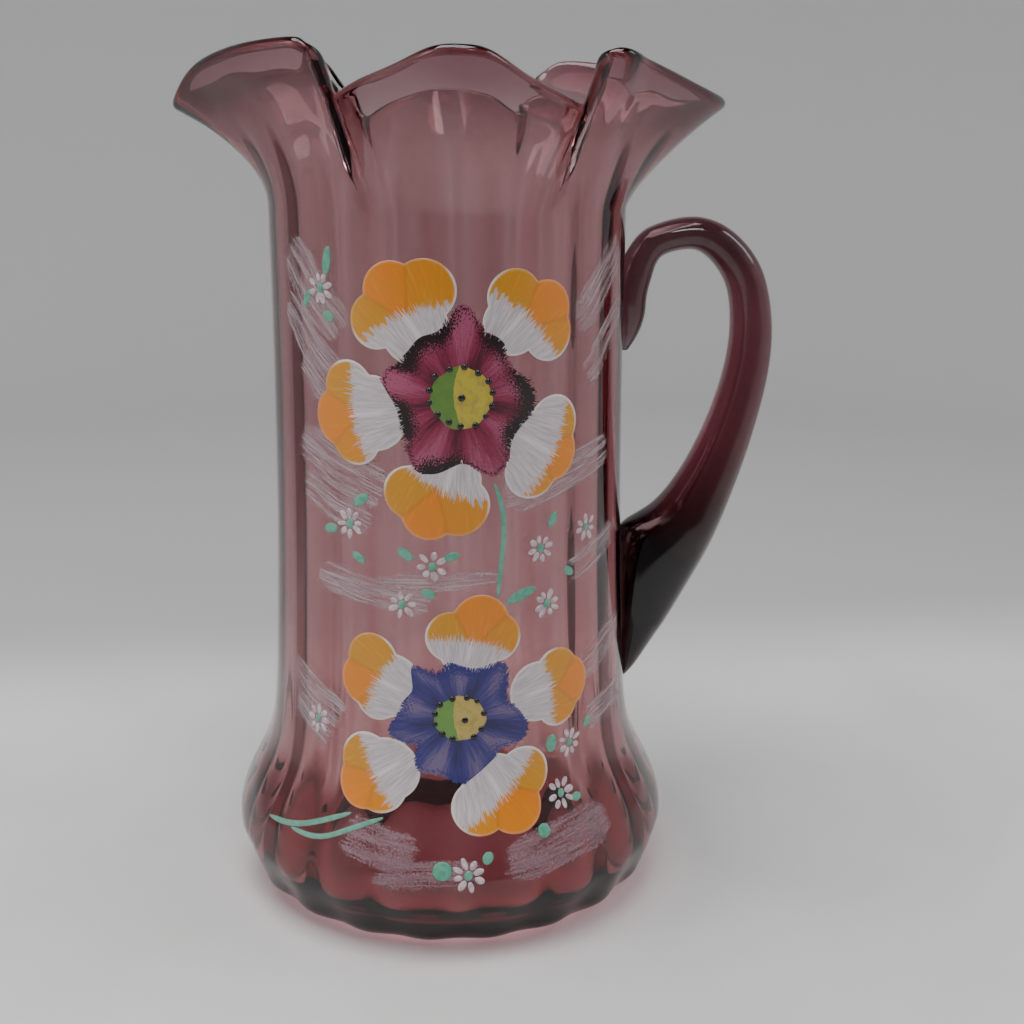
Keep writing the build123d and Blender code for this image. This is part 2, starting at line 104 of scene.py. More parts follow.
def newPiece(name, verts, faces):
    # verts in millimetres
    mesh = bpy.data.meshes.new(name)
    mesh.from_pydata((np.asarray(verts, float) * mm).tolist(), [], faces)
    mesh.update()
    piece = bpy.data.objects.new(name, mesh)
    bpy.context.scene.collection.objects.link(piece)
    mesh.polygons.foreach_set("use_smooth", [True] * len(mesh.polygons))
    return piece


def ringFaces(rows, columns):
    faces = []
    for r in range(rows - 1):
        a = r * columns
        b = a + columns
        for c in range(columns):
            d = (c + 1) % columns
            faces.append((a + c, a + d, b + d, b + c))
    return faces


def cappedFaces(rows, columns):
    # the same rings with a flat cap on the first and the last
    faces = ringFaces(rows, columns)
    faces.append(tuple(range(columns))[::-1])
    last = (rows - 1) * columns
    faces.append(tuple(range(last, last + columns)))
    return faces


def pointField(piece, name, values):
    values = np.asarray(values, np.float32)
    if values.ndim == 1:
        layer = piece.data.attributes.new(name, "FLOAT", "POINT")
        layer.data.foreach_set("value", values)
    else:
        layer = piece.data.attributes.new(name, "FLOAT_VECTOR", "POINT")
        layer.data.foreach_set("vector", values.ravel())


def setUv(piece, uv):
    # one pair per vertex
    mesh = piece.data
    layer = mesh.uv_layers.new(name="paintUv")
    loops = np.zeros(len(mesh.loops), np.int32)
    mesh.loops.foreach_get("vertex_index", loops)
    layer.data.foreach_set("uv", np.asarray(uv, np.float32)[loops].ravel())


def addNode(tree, kind, inputs=None, **settings):
    node = tree.nodes.new(kind)
    for key, value in settings.items():
        setattr(node, key, value)
    for key, value in (inputs or {}).items():
        if isinstance(value, bpy.types.NodeSocket):
            tree.links.new(value, node.inputs[key])
        else:
            node.inputs[key].default_value = value
    return node


def emptyMaterial(name):
    material = bpy.data.materials.new(name)
    material.use_nodes = True
    material.node_tree.nodes.clear()
    return material, material.node_tree


def mathNode(tree, operation, a, b=None, c=None, clamp=False):
    node = addNode(tree, "ShaderNodeMath", operation=operation, use_clamp=clamp)
    for i, value in enumerate((a, b, c)):
        if value is None:
            continue
        if isinstance(value, bpy.types.NodeSocket):
            tree.links.new(value, node.inputs[i])
        else:
            node.inputs[i].default_value = value
    return node.outputs[0]


def mixColour(tree, factor, a, b, blend="MIX"):
    node = addNode(tree, "ShaderNodeMix", data_type="RGBA", blend_type=blend)
    for slotIndex, value in ((0, factor), (6, a), (7, b)):
        if isinstance(value, bpy.types.NodeSocket):
            tree.links.new(value, node.inputs[slotIndex])
        else:
            node.inputs[slotIndex].default_value = value
    return node.outputs[2]


def rangeNode(tree, value, low, high):
    node = addNode(tree, "ShaderNodeMapRange", {
        "Value": value, "From Min": low, "From Max": high}, interpolation_type="SMOOTHSTEP")
    return node.outputs[0]


def field(tree, name):
    return addNode(tree, "ShaderNodeAttribute", attribute_name=name).outputs["Fac"]


def glassMaterial(name, tint, depth, roughness, shadeColour):
    # clear glass that takes its colour from how much glass the light crosses, with painted shade: a darker
    # tint mixed in where the field read below is high, broken up by a faint cloud
    material, tree = emptyMaterial(name)
    shader = addNode(tree, "ShaderNodeBsdfPrincipled", {
        "Roughness": roughness, "IOR": 1.5, "Transmission Weight": 1.0})
    where = addNode(tree, "ShaderNodeTexCoord").outputs["Object"]
    cloud = addNode(tree, "ShaderNodeTexNoise", {
        "Vector": where, "Scale": 26.0, "Detail": 2.0}).outputs["Fac"]
    # painted shade: how far the glass is tinted towards the dark colour
    share = mathNode(tree, "MULTIPLY_ADD", mathNode(tree, "SUBTRACT", cloud, 0.5), 0.16,
                     field(tree, "paintedShade"), clamp=True)
    tree.links.new(mixColour(tree, share, (1, 1, 1, 1), shadeColour), shader.inputs["Base Color"])
    volume = addNode(tree, "ShaderNodeVolumeAbsorption", {
        "Color": tint, "Density": depth})
    out = addNode(tree, "ShaderNodeOutputMaterial")
    tree.links.new(shader.outputs[0], out.inputs["Surface"])
    tree.links.new(volume.outputs[0], out.inputs["Volume"])
    return material


def paintNoise(tree, scaleU, scaleV, detail=3.0, scale=1.0):
    # noise on the paint's own coordinates, in millimetres, stretched along one way
    uv = addNode(tree, "ShaderNodeUVMap", uv_map="paintUv").outputs[0]
    stretch = addNode(tree, "ShaderNodeMapping", {"Vector": uv})
    stretch.inputs["Scale"].default_value = (scaleU, scaleV, 1)
    noise = addNode(tree, "ShaderNodeTexNoise", {
        "Vector": stretch.outputs[0], "Scale": scale, "Detail": detail, "Roughness": 0.6})
    return noise.outputs["Fac"]


def enamelShader(tree, colour, roughness=0.32, bump=None, bumpDepth=0.00006, alpha=None):
    shader = addNode(tree, "ShaderNodeBsdfPrincipled", {
        "Roughness": roughness, "IOR": 1.5, "Coat Weight": 0.25, "Coat Roughness": 0.12})
    if isinstance(colour, bpy.types.NodeSocket):
        tree.links.new(colour, shader.inputs["Base Color"])
    else:
        shader.inputs["Base Color"].default_value = colour
    if bump is not None:
        lift = addNode(tree, "ShaderNodeBump", {
            "Height": bump, "Strength": 0.6, "Distance": bumpDepth})
        tree.links.new(lift.outputs[0], shader.inputs["Normal"])
    if alpha is not None:
        tree.links.new(alpha, shader.inputs["Alpha"])
    out = addNode(tree, "ShaderNodeOutputMaterial")
    tree.links.new(shader.outputs[0], out.inputs["Surface"])


def petalMaterial():
    # white root and orange tip, pulled together with a dry brush
    material, tree = emptyMaterial("petalEnamel")
    brush = paintNoise(tree, 1.7, 0.12)
    fine = paintNoise(tree, 4.2, 0.25, 2.0)
    cloud = paintNoise(tree, 0.16, 0.16, 2.0)
    rough = mathNode(tree, "SUBTRACT", mathNode(tree, "ADD", brush, fine), 1.0)
    edge = mathNode(tree, "MULTIPLY_ADD", rough, 9.0, field(tree, "orange"))
    orange = rangeNode(tree, edge, -0.35, 0.35)
    cellShade = mathNode(tree, "ADD", field(tree, "cell"),
                         mathNode(tree, "MULTIPLY_ADD", cloud, 1.1, -0.55))
    hot = mixColour(tree, rangeNode(tree, cellShade, 0.0, 1.0),
                    linearColour("#C98A16"), linearColour("#E07E08"))
    hot = mixColour(tree, mathNode(tree, "MULTIPLY", rangeNode(tree, brush, 0.5, 0.72), 0.3),
                    hot, linearColour("#EFA62A"))
    seam = mathNode(tree, "MULTIPLY", field(tree, "seam"), 0.38)
    hot = mixColour(tree, seam, hot, linearColour("#B4660A"))
    streak = rangeNode(tree, brush, 0.36, 0.62)
    pale = mixColour(tree, streak, linearColour("#B9ADB3"), linearColour("#D0C7CB"))
    vein = mathNode(tree, "MULTIPLY", field(tree, "vein"), 0.75)
    pale = mixColour(tree, vein, pale, linearColour("#E4DFDF"))
    colour = mixColour(tree, orange, pale, hot)
    rim = rangeNode(tree, mathNode(tree, "MULTIPLY_ADD", fine, 0.4, field(tree, "inset")), 1.15, 0.55)
    colour = mixColour(tree, mathNode(tree, "MULTIPLY", rim, field(tree, "rimShare")),
                       colour, linearColour("#DCD2CC"))
    enamelShader(tree, colour, 0.34, brush, 0.00005)
    return material


def corollaMaterial(name, dark, middle, light, stipple):
    # translucent folds with a rough stippled edge
    material, tree = emptyMaterial(name)
    brush = paintNoise(tree, 1.6, 0.14)
    grain = paintNoise(tree, 3.2, 1.5, 2.0)
    fold = mathNode(tree, "ADD", field(tree, "fold"),
                    mathNode(tree, "MULTIPLY_ADD", brush, 1.2, -0.6))
    colour = mixColour(tree, rangeNode(tree, fold, 0.12, 0.55), dark, middle)
    colour = mixColour(tree, rangeNode(tree, fold, 0.5, 1.0), colour, light)
    spots = mathNode(tree, "ADD", field(tree, "stipple"),
                     mathNode(tree, "MULTIPLY_ADD", grain, 3.4, -1.7))
    colour = mixColour(tree, rangeNode(tree, spots, 0.42, 0.62), colour, stipple)
    ragged = mathNode(tree, "ADD", field(tree, "inset"),
                      mathNode(tree, "MULTIPLY",
                               mathNode(tree, "SUBTRACT", paintNoise(tree, 3.4, 0.5, 2.0), 0.62), 9.0))
    hairy = rangeNode(tree, ragged, -0.1, 0.25)
    enamelShader(tree, colour, 0.3, grain, 0.00008, hairy)
    return material


def eyeMaterial(name, green, yellow, shade):
    material, tree = emptyMaterial(name)
    cloud = paintNoise(tree, 0.35, 0.35, 3.0)
    split = rangeNode(tree, mathNode(tree, "MULTIPLY_ADD", cloud, 1.6, field(tree, "side")), 0.7, 0.9)
    left = mixColour(tree, cloud, green, shade)
    right = mixColour(tree, rangeNode(tree, cloud, 0.42, 0.66), yellow, linearColour("#A99748"))
    enamelShader(tree, mixColour(tree, split, left, right), 0.36, cloud)
    return material


def plainEnamel(name, colour, other, roughness=0.34, scale=0.6):
    material, tree = emptyMaterial(name)
    where = addNode(tree, "ShaderNodeTexCoord").outputs["Object"]
    noise = addNode(tree, "ShaderNodeTexNoise", {
        "Vector": where, "Scale": scale * 1000, "Detail": 3.0}).outputs["Fac"]
    enamelShader(tree, mixColour(tree, rangeNode(tree, noise, 0.35, 0.65), colour, other),
                 roughness, noise, 0.00005)
    return material


def washMaterial(name, colour, other, low):
    # thin dry-brush wash: long streaks, mostly see-through, grainier near the foot
    material, tree = emptyMaterial(name)
    wide = paintNoise(tree, 0.035, 0.5, 4.0)
    fine = paintNoise(tree, 0.09, 2.3, 2.0)
    grain = paintNoise(tree, 1.5, 1.7, 2.0)
    body = mathNode(tree, "ADD", mathNode(tree, "MULTIPLY", wide, 0.62),
                    mathNode(tree, "MULTIPLY", fine, 0.38))
    coarse = mathNode(tree, "MULTIPLY_ADD", field(tree, "low"), 0.45, 0.2)
    specks = mathNode(tree, "MULTIPLY", coarse, mathNode(tree, "SUBTRACT", grain, 0.5))
    body = mathNode(tree, "ADD", body, specks)
    body = mathNode(tree, "ADD", body, mathNode(tree, "MULTIPLY", field(tree, "low"), 0.05))
    edge = mathNode(tree, "MULTIPLY", rangeNode(tree, field(tree, "inset"), 1.8, 0.0), -0.2)
    body = mathNode(tree, "ADD", body, edge)
    alpha = mathNode(tree, "MULTIPLY", rangeNode(tree, body, 0.38, 0.62), 0.58)
    tone = mixColour(tree, rangeNode(tree, fine, 0.4, 0.62), colour, other)
    tone = mixColour(tree, mathNode(tree, "MULTIPLY", field(tree, "low"), 0.8), tone, low)
    enamelShader(tree, tone, 0.5, grain, 0.00004, alpha)
    return material


materials = {
    # the last colour of each glass is the painted shade that its tint darkens to
    "bodyGlass": glassMaterial("bodyGlass", (0.61, 0.12, 0.16, 1), 255.0, 0.01,
                               linearColour("#BC97A2")),
    "handleGlass": glassMaterial("handleGlass", (0.52, 0.12, 0.20, 1), 225.0, 0.01,
                                 linearColour("#3A2028")),
    "petal": petalMaterial(),
    "crimson": corollaMaterial("crimsonEnamel", linearColour("#4E1226"), linearColour("#852544"),
                               linearColour("#A4506E"), linearColour("#1A080C")),
    "cobalt": corollaMaterial("cobaltEnamel", linearColour("#1C1750"), linearColour("#2F2A72"),
                              linearColour("#6E5C80"), linearColour("#232070")),
    "eyeUpper": eyeMaterial("upperEyeEnamel", linearColour("#6C8F40"), linearColour("#C0AE3C"),
                            linearColour("#4F7434")),
    "eyeLower": eyeMaterial("lowerEyeEnamel", linearColour("#5E8A3C"), linearColour("#BFA65C"),
                            linearColour("#6E9A45")),
    "black": plainEnamel("blackEnamel", linearColour("#100A0B"), linearColour("#1B1213"), 0.16),
    "mint": plainEnamel("mintEnamel", linearColour("#6BA993"), linearColour("#4F9A80")),
    "stem": plainEnamel("stemEnamel", linearColour("#6FA693"), linearColour("#5C9783")),
    "daisy": plainEnamel("daisyEnamel", linearColour("#D6C6CC"), linearColour("#B49CA5")),
    "frost": washMaterial("frostWash", linearColour("#A48F96"), linearColour("#C4B4B8"),
                          linearColour("#91707A")),
}
print("materials made")


bodyLow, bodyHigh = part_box("glass_body")
body = {
    "height": 260.0, "flare": 46.0, "neck": 53.0, "wall": 3.0, "lip": 4.0,
    "foot": 54.0, "bulge": 15.2, "floor": 6.2, "kick": 3.2,
    "ribs": 20, "ribPhase": 6.0, "outerRib": 0.9, "outerRibTop": 20.0, "innerRib": 0.45,
    "around": 480, "crimps": (-153.5, -30, 28, 153.5),
}
body["neckHeight"] = body["height"] - body["flare"]
body["belly"] = [
    (0.0, 1 / 15.2), (0.014, 0.49), (0.042, 0.80), (0.084, 1.0), (0.131, 0.94), (0.178, 0.645),
    (0.224, 0.355), (0.271, 0.217), (0.318, 0.158), (0.374, 0.118), (0.514, 0.046), (0.70, 0.0),
    (0.89, -0.01), (1.0, 0.0)]
# in from the outer wall, up from the floor, ripple of each ring inside
body["floorRows"] = [
    (5.0, 9.0, 0.7), (6.2, 7.6, 0.6), (7.6, 6.4, 0.5), (9.2, 5.2, 0.4), (11.0, 4.2, 0.3),
    (13.1, 3.2, 0.25), (15.4, 2.4, 0.2), (17.9, 1.8, 0.1), (20.5, 1.3, 0), (26.5, 0.7, 0),
    (33, 0.5, 0), (40, 0.3, 0), (47, 0.2, 0), (54, 0.1, 0), (62, 0.05, 0), (67.9, 0.02, 0)]
bellyCurve = openCurve([b[0] for b in body["belly"]], [b[1] for b in body["belly"]])

# bearing at the neck, bearing of the lip, lip outside the neck, drop, lateness
rim = [
    (-108, -107.0, 22.8, 9.8, 1.9), (-90, -90.0, 25.3, 14.7, 1.9), (-78, -82.0, 21.8, 7.9, 1.9),
    (-65, -70.6, 17.2, 2.5, 1.9), (-52, -58.0, 13.4, -0.4, 1.9), (-42, -46.4, 11.0, -1.6, 1.8),
    (-37, -41.6, 9.4, -0.6, 1.6), (-32.5, -42.4, 3.5, 5.0, 1.35), (-28, -46.4, -3.6, 12.5, 1.2),
    (-23, -37.4, -1.3, 11.3, 1.2), (-18, -28.2, 3.2, 8.4, 1.25), (-12, -17.3, 9.2, 4.7, 1.4),
    (-6, -8.5, 15.0, 0.6, 1.5), (0, -1.6, 17.6, 0.0, 1.5), (7, 5.6, 15.4, 1.9, 1.5),
    (12.5, 14.6, 9.5, 7.4, 1.4), (17.5, 25.6, 4.4, 11.6, 1.25), (21.5, 34.6, 1.3, 14.2, 1.2),
    (25, 41.6, -0.6, 15.1, 1.15), (28.5, 41.4, 3.6, 11.4, 1.2), (32.5, 37.2, 9.8, 3.4, 1.4),
    (37, 36.6, 14.2, 0.6, 1.5), (42, 39.9, 16.2, 0.9, 1.4), (47.5, 45.6, 14.6, 2.2, 1.25),
    (56, 53.2, 14.6, 4.5, 1.2), (70, 69.4, 19.0, 9.4, 1.2), (90, 90.0, 29.6, 14.6, 1.2),
    (108, 105.6, 25.8, 11.5, 1.3), (124, 119.8, 19.2, 7.2, 1.5), (137, 134.2, 12.5, 5.0, 1.6),
    (144, 142.0, 8.6, 6.5, 1.5), (149, 143.6, 1.8, 12.0, 1.3), (153.5, 142.8, -7.2, 17.0, 1.2),
    (158, 150.8, -5.2, 16.5, 1.2), (163, 159.0, 0.6, 12.5, 1.3), (170, 169.2, 7.0, 9.0, 1.4),
    (180, 180.0, 10.6, 7.7, 1.5), (190, 190.8, 7.0, 9.0, 1.4), (197, 201.0, 0.6, 12.5, 1.3),
    (202, 209.2, -5.2, 16.5, 1.2), (206.5, 217.0, -7.6, 16.5, 1.2), (211, 217.0, 1.2, 10.0, 1.3),
    (216, 217.6, 8.4, 3.5, 1.5), (223, 224.4, 12.9, 2.2, 1.7), (236, 238.0, 17.8, 4.0, 1.8)]
rimBearings = [r[0] for r in rim]
lipTurn = closedCurve(rimBearings, [r[1] - r[0] for r in rim])
lipOut = closedCurve(rimBearings, [r[2] for r in rim])
lipDrop = closedCurve(rimBearings, [r[3] for r in rim])
lipLate = closedCurve(rimBearings, [r[4] for r in rim])


def outerRadius(z):
    share = np.clip(np.asarray(z, float) / body["neckHeight"], 0, 1)
    return body["neck"] + body["bulge"] * bellyCurve(share)


def ribWave(bearing):
    return np.cos(np.radians(body["ribs"] * (bearing - body["ribPhase"])))


def onCircle(r, bearing, z):
    b = np.radians(bearing)
    return np.stack([r * np.sin(b), -r * np.cos(b), np.full_like(b, z)], -1)


def outerRow(z, bearing):
    fade = max(0.0, 1 - (z / body["outerRibTop"]) ** 2) * min(1.0, (z + 2.5) / 8)
    return onCircle(outerRadius(z) + body["outerRib"] * fade * (ribWave(bearing) - 1), bearing, z)


def plainRow(r, z, bearing, ripple=0.0):
    return onCircle(r - ripple * ribWave(bearing), bearing, z)


def flareMiddle(bearing, share):
    turn = np.radians(bearing + lipTurn(bearing))
    r = body["neck"] - body["wall"] / 2
    reach = r + lipOut(bearing)
    top = body["height"] - body["lip"] / 2 - 0.8 - lipDrop(bearing)
    b = np.radians(bearing)
    w = share ** np.maximum(1.1, lipLate(bearing))
    x = r * np.sin(b) * (1 - w) + reach * np.sin(turn) * w
    y = -r * np.cos(b) * (1 - w) - reach * np.cos(turn) * w
    return np.stack([x, y, body["neckHeight"] + (top - body["neckHeight"]) * share], -1)


def unit(v):
    return v / np.linalg.norm(v, axis=-1, keepdims=True)


def flareFrame(bearing, share):
    low = max(share - 0.02, 0.0)
    up = flareMiddle(bearing, share + 0.02) - flareMiddle(bearing, low)
    across = flareMiddle(bearing + 0.3, share) - flareMiddle(bearing - 0.3, share)
    return flareMiddle(bearing, share), unit(np.cross(across, up)), unit(up)


def flareRow(share, side, bearing):
    middle, normal, up = flareFrame(bearing, share)
    half = body["wall"] / 2 + (body["lip"] - body["wall"]) / 2 * max(0.0, (share - 0.8) / 0.2)
    if side < 0:
        half = half + body["innerRib"] * ribWave(bearing) * (1 - share)
        return middle - normal * np.asarray(half)[..., None]
    return middle + normal * half


def lipRow(angle, bearing):
    middle, normal, up = flareFrame(bearing, 1.0)
    a = math.radians(angle)
    return middle + (normal * math.cos(a) + up * math.sin(a)) * body["lip"] / 2


def crowdedBearings(count):
    # columns closer together at the four crimps
    fine = np.linspace(-180, 180, 7201)
    density = np.ones_like(fine)
    for centre in body["crimps"]:
        density += 1.4 * np.exp(-((fine - centre) / 12.0) ** 2)
    total = np.concatenate([[0], np.cumsum((density[1:] + density[:-1]) / 2)])
    return np.interp(np.arange(count) * total[-1] / count, total, fine)


def buildBody():
    bearing = crowdedBearings(body["around"])
    foot, top = body["foot"], body["neckHeight"]
    rows = []
    for r in (0.5, 6, 13, 20, 27, 33, 38, 42, 44.5):
        rows.append(plainRow(r, body["kick"] * (1 - (r / (foot - 8.6)) ** 4), bearing))
    rows.append(plainRow(foot - 8.0, 0.25, bearing))
    rows += [plainRow(r, 0.02, bearing) for r in (foot - 7.2, foot - 4, foot - 1.6)]
    rows.append(plainRow(foot - 0.2, 0.18, bearing))
    heights = list(np.arange(0.9, 12, 1.1)) + list(np.arange(12.5, 60, 1.9))
    heights += list(np.linspace(60, 110, 14))[1:] + list(np.linspace(110, top, 12))[1:-1]
    rows += [outerRow(float(z), bearing) for z in heights]
    shares = np.linspace(0, 0.97, 26)
    rows += [flareRow(float(s), 1, bearing) for s in shares]
    rows += [lipRow(a, bearing) for a in range(0, 181, 20)]
    rows += [flareRow(float(s), -1, bearing) for s in shares[::-1]]
    inner = list(np.linspace(top, 110, 10))[1:] + list(np.linspace(110, 60, 10))[1:]
    inner += list(np.arange(58, 17.5, -2.2))
    for z in inner:
        extra = 0.8 * max(0.0, 1 - z / 90)
        ripple = body["innerRib"] + 0.5 * max(0.0, 1 - z / 60)
        rows.append(plainRow(outerRadius(z) - body["wall"] - extra, z, bearing, ripple))
    reach, floor = float(outerRadius(18)), body["floor"]
    for inset, lift, ripple in body["floorRows"]:
        rows.append(plainRow(reach - inset, floor + lift, bearing, ripple))
    verts = np.concatenate(rows)
    piece = newPiece("pitcherBody", verts, cappedFaces(len(rows), len(bearing)))
    z = verts[:, 2]
    # painted shade: the glass is tinted darker towards the foot, up the flare, and most at the rim and
    # lobes that reach out past the neck
    low = np.clip((8 - z) / 8, 0, 1) * 0.5
    high = np.clip((z - body["neckHeight"] - 14) / 20, 0, 1) * 0.5
    away = np.hypot(verts[:, 0], verts[:, 1])
    high += np.clip((away - 59) / 14, 0, 1) * (z > body["neckHeight"]) * 0.8
    pointField(piece, "paintedShade", np.clip(np.maximum(low, high), 0, 1))
    return piece


pitcherBody = buildBody()
pitcherBody.data.materials.append(materials["bodyGlass"])
print("body built", len(pitcherBody.data.polygons))

handle = {
    "around": 72, "along": 150, "broad": 1.16, "widest": 12.5,
    "rows": [
        (1.6, 0.789, 90, 0.9), (2.3, 0.812, 90, 3.2), (2.6, 0.842, 91, 4.9), (3.0, 0.878, 86, 5.3),
        (6.9, 0.928, 44, 5.0), (13.1, 0.949, 24, 4.8), (22.2, 0.955, -5, 5.0),
        (30.0, 0.940, -33, 5.5),
        (35.6, 0.913, -50, 5.9), (39.4, 0.876, -66, 6.2), (41.2, 0.817, -84, 6.6),
        (40.2, 0.755, -97, 7.0), (36.9, 0.690, -107, 7.5), (31.0, 0.612, -115, 8.6),
        (21.6, 0.528, -122, 11.2), (12.6, 0.478, -127, 14.6), (7.6, 0.414, -117, 12.0),
        (4.6, 0.358, -108, 8.4), (3.2, 0.312, -101, 4.6), (2.7, 0.288, -98, 1.6)],
}


def buildHandle():
    rows = np.array(handle["rows"], float)
    knots = np.arange(len(rows))
    curves = [openCurve(knots, rows[:, i]) for i in range(4)]
    where = np.linspace(0, len(rows) - 1, handle["along"])
    turn = np.linspace(0, 2 * math.pi, handle["around"], endpoint=False)
    verts = []
    for w in where:
        out, share, heading, half = [float(c(w)) for c in curves]
        half = max(half, 0.6)
        h = math.radians(heading)
        x = body["neck"] + out
        z = share * body["neckHeight"]
        broad = min(half * handle["broad"], handle["widest"])
        side = half * np.sin(turn)
        px = x - side * math.sin(h)
        pz = z + side * math.cos(h)
        py = broad * np.cos(turn)
        # what lies inside the wall is flattened onto its outside
        r = np.hypot(px, py)
        wall = outerRadius(pz) + 0.02
        r2 = np.maximum(r, wall)
        verts.append(np.stack([px * r2 / r, py * r2 / r, pz], -1))
    count = handle["around"]
    piece = newPiece("pitcherHandle", np.concatenate(verts), cappedFaces(len(where), count))
    share = np.repeat(where / where[-1], count)
    # painted shade: the handle's glass is tinted darker near its top joint and most towards its thick
    # lower end
    top = np.clip((0.52 - share) / 0.12, 0, 1) * 0.6
    low = np.clip((share - 0.66) / 0.12, 0, 1)
    pointField(piece, "paintedShade", np.maximum(top, low))
    return piece


pitcherHandle = buildHandle()
pitcherHandle.data.materials.append(materials["handleGlass"])
print("handle built", len(pitcherHandle.data.polygons))


# in mm: how far the under and upper faces keep off the wall, then each coat
enamel = {
    "under": 0.02, "skin": 0.04, "petal": 0.22, "corolla": 0.28, "eye": 0.40, "stem": 0.2,
    "wash": 0.03,
}


def onWall(arc, height, bearing, z, lift):
    # arc and height in mm round a middle point on the wall
    radius = float(outerRadius(z))
    b = math.radians(bearing) + np.asarray(arc, float) / radius
    h = z + np.asarray(height, float)
    r = outerRadius(h) + lift
    return np.stack([r * np.sin(b), -r * np.cos(b), h], -1)


def cellReach(cells, cx, cy, turn):
    # distance from a middle point to the outside of a group of overlapping discs
    best = np.zeros_like(turn)
    dx, dy = np.cos(turn), np.sin(turn)
    for x, y, r in cells:
        along = (x - cx) * dx + (y - cy) * dy
        off = (x - cx) ** 2 + (y - cy) ** 2 - along ** 2
        hit = np.where(off < r * r, along + np.sqrt(np.maximum(r * r - off, 0)), 0)
        best = np.maximum(best, hit)
    return best


def fanPatch(flower, middle, reach, count, rings, lift, seedFields):
    # a thin raised patch: rings from the middle out to the edge, then back under
    turn = np.linspace(0, 2 * math.pi, count, endpoint=False)
    edge = reach(turn)
    rows, fields = [], {}
    shares = [0.02] + [(i + 1) / rings for i in range(rings)]
    for share in shares + shares[::-1]:
        x = middle[0] + edge * share * np.cos(turn)
        y = middle[1] + edge * share * np.sin(turn)
        inset = edge * (1 - share)
        bottom = len(rows) >= len(shares)
        height = enamel["under"] if bottom else enamel["skin"] + lift * (1 - 0.55 * share ** 6)
        rows.append(onWall(x, y, flower["bearing"], flower["height"], height))
        for key, value in seedFields(x, y, inset, share, turn).items():
            fields.setdefault(key, []).append(value)
    fields = {k: np.concatenate(v) for k, v in fields.items()}
    return np.concatenate(rows), cappedFaces(len(rows), count), fields


def joinPatches(name, patches, material):
    verts, faces, fields, start = [], [], {}, 0
    for v, f, values in patches:
        verts.append(v)
        faces += [tuple(i + start for i in face) for face in f]
        start += len(v)
        for key, value in values.items():
            fields.setdefault(key, []).append(value)
    piece = newPiece(name, np.concatenate(verts), faces)
    for key, value in fields.items():
        value = np.concatenate(value)
        if key == "paint":
            setUv(piece, value)
        else:
            pointField(piece, key, value)
    piece.data.materials.append(material)
    return piece


